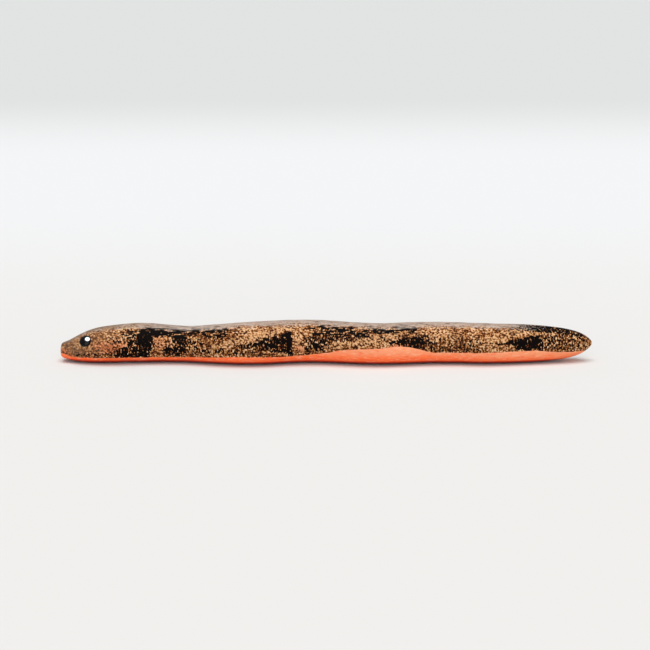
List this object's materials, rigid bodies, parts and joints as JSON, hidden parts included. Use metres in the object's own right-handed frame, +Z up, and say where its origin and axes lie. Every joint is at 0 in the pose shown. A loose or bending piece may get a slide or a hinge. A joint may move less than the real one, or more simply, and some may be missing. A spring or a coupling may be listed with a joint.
{
  "type": "soft plastic worm",
  "caption": "Slim eel-shaped soft bait: blunt snout, bead eyes, tapered tail, a mottled back poured over an orange belly, cut into links that sway and nod.",
  "frame": {"origin": "bottom centre of the bounding box, on the surface that the worm lies on", "axes": "+X from the snout to the tail, +Z up, so +Y is the worm's right"},
  "size_m": [0.1524, 0.0158, 0.0119],
  "materials": {
    "back_plastic": "matte",
    "belly_plastic": "matte",
    "eye_bead": "gloss"
  },
  "bodies": {
    "head": {"head_back": "back_plastic", "head_belly": "belly_plastic", "left_eye": "eye_bead", "right_eye": "eye_bead"},
    "neck": {"neck_back": "back_plastic", "neck_belly": "belly_plastic"},
    "body_1": {"body_1_back": "back_plastic", "body_1_belly": "belly_plastic"},
    "body_2": {"body_2_back": "back_plastic", "body_2_belly": "belly_plastic"},
    "body_3": {"body_3_back": "back_plastic", "body_3_belly": "belly_plastic"},
    "body_4": {"body_4_back": "back_plastic", "body_4_belly": "belly_plastic"},
    "body_5": {"body_5_back": "back_plastic", "body_5_belly": "belly_plastic"},
    "body_6": {"body_6_back": "back_plastic", "body_6_belly": "belly_plastic"},
    "body_7": {"body_7_back": "back_plastic", "body_7_belly": "belly_plastic"},
    "body_8": {"body_8_back": "back_plastic", "body_8_belly": "belly_plastic"},
    "tail_root": {"tail_root_back": "back_plastic", "tail_root_belly": "belly_plastic"},
    "tail_tip": {"tail_tip_back": "back_plastic", "tail_tip_belly": "belly_plastic"}
  },
  "joints": [
    {"name": "neck_sway", "type": "hinge", "parent": "head", "child": "neck", "pos_m": [-0.0512, 0.0016, 0.00527], "axis": [0, 0, 1], "range_deg": [-35, 35], "stiffness_Nm_per_rad": 0.008},
    {"name": "body_1_nod", "type": "hinge", "parent": "neck", "child": "body_1", "pos_m": [-0.0402, 0.00128, 0.00487], "axis": [0, -1, 0], "range_deg": [-30, 30], "stiffness_Nm_per_rad": 0.008},
    {"name": "body_2_sway", "type": "hinge", "parent": "body_1", "child": "body_2", "pos_m": [-0.0292, -0.00082, 0.00541], "axis": [0, 0, 1], "range_deg": [-35, 35], "stiffness_Nm_per_rad": 0.008},
    {"name": "body_3_nod", "type": "hinge", "parent": "body_2", "child": "body_3", "pos_m": [-0.0182, -0.00113, 0.00579], "axis": [0, -1, 0], "range_deg": [-30, 30], "stiffness_Nm_per_rad": 0.008},
    {"name": "body_4_sway", "type": "hinge", "parent": "body_3", "child": "body_4", "pos_m": [-0.0072, 0.00119, 0.00581], "axis": [0, 0, 1], "range_deg": [-35, 35], "stiffness_Nm_per_rad": 0.008},
    {"name": "body_5_nod", "type": "hinge", "parent": "body_4", "child": "body_5", "pos_m": [0.0038, 0.00037, 0.00568], "axis": [0, -1, 0], "range_deg": [-30, 30], "stiffness_Nm_per_rad": 0.008},
    {"name": "body_6_sway", "type": "hinge", "parent": "body_5", "child": "body_6", "pos_m": [0.0148, -0.0013, 0.00555], "axis": [0, 0, 1], "range_deg": [-35, 35], "stiffness_Nm_per_rad": 0.008},
    {"name": "body_7_nod", "type": "hinge", "parent": "body_6", "child": "body_7", "pos_m": [0.0258, 0.00003, 0.00555], "axis": [0, -1, 0], "range_deg": [-30, 30], "stiffness_Nm_per_rad": 0.008},
    {"name": "body_8_sway", "type": "hinge", "parent": "body_7", "child": "body_8", "pos_m": [0.0368, 0.0005, 0.00552], "axis": [0, 0, 1], "range_deg": [-35, 35], "stiffness_Nm_per_rad": 0.008},
    {"name": "tail_root_nod", "type": "hinge", "parent": "body_8", "child": "tail_root", "pos_m": [0.0478, -0.00016, 0.0054], "axis": [0, -1, 0], "range_deg": [-30, 30], "stiffness_Nm_per_rad": 0.008},
    {"name": "tail_tip_sway", "type": "hinge", "parent": "tail_root", "child": "tail_tip", "pos_m": [0.0588, 0.00082, 0.00518], "axis": [0, 0, 1], "range_deg": [-35, 35], "stiffness_Nm_per_rad": 0.008}
  ]
}
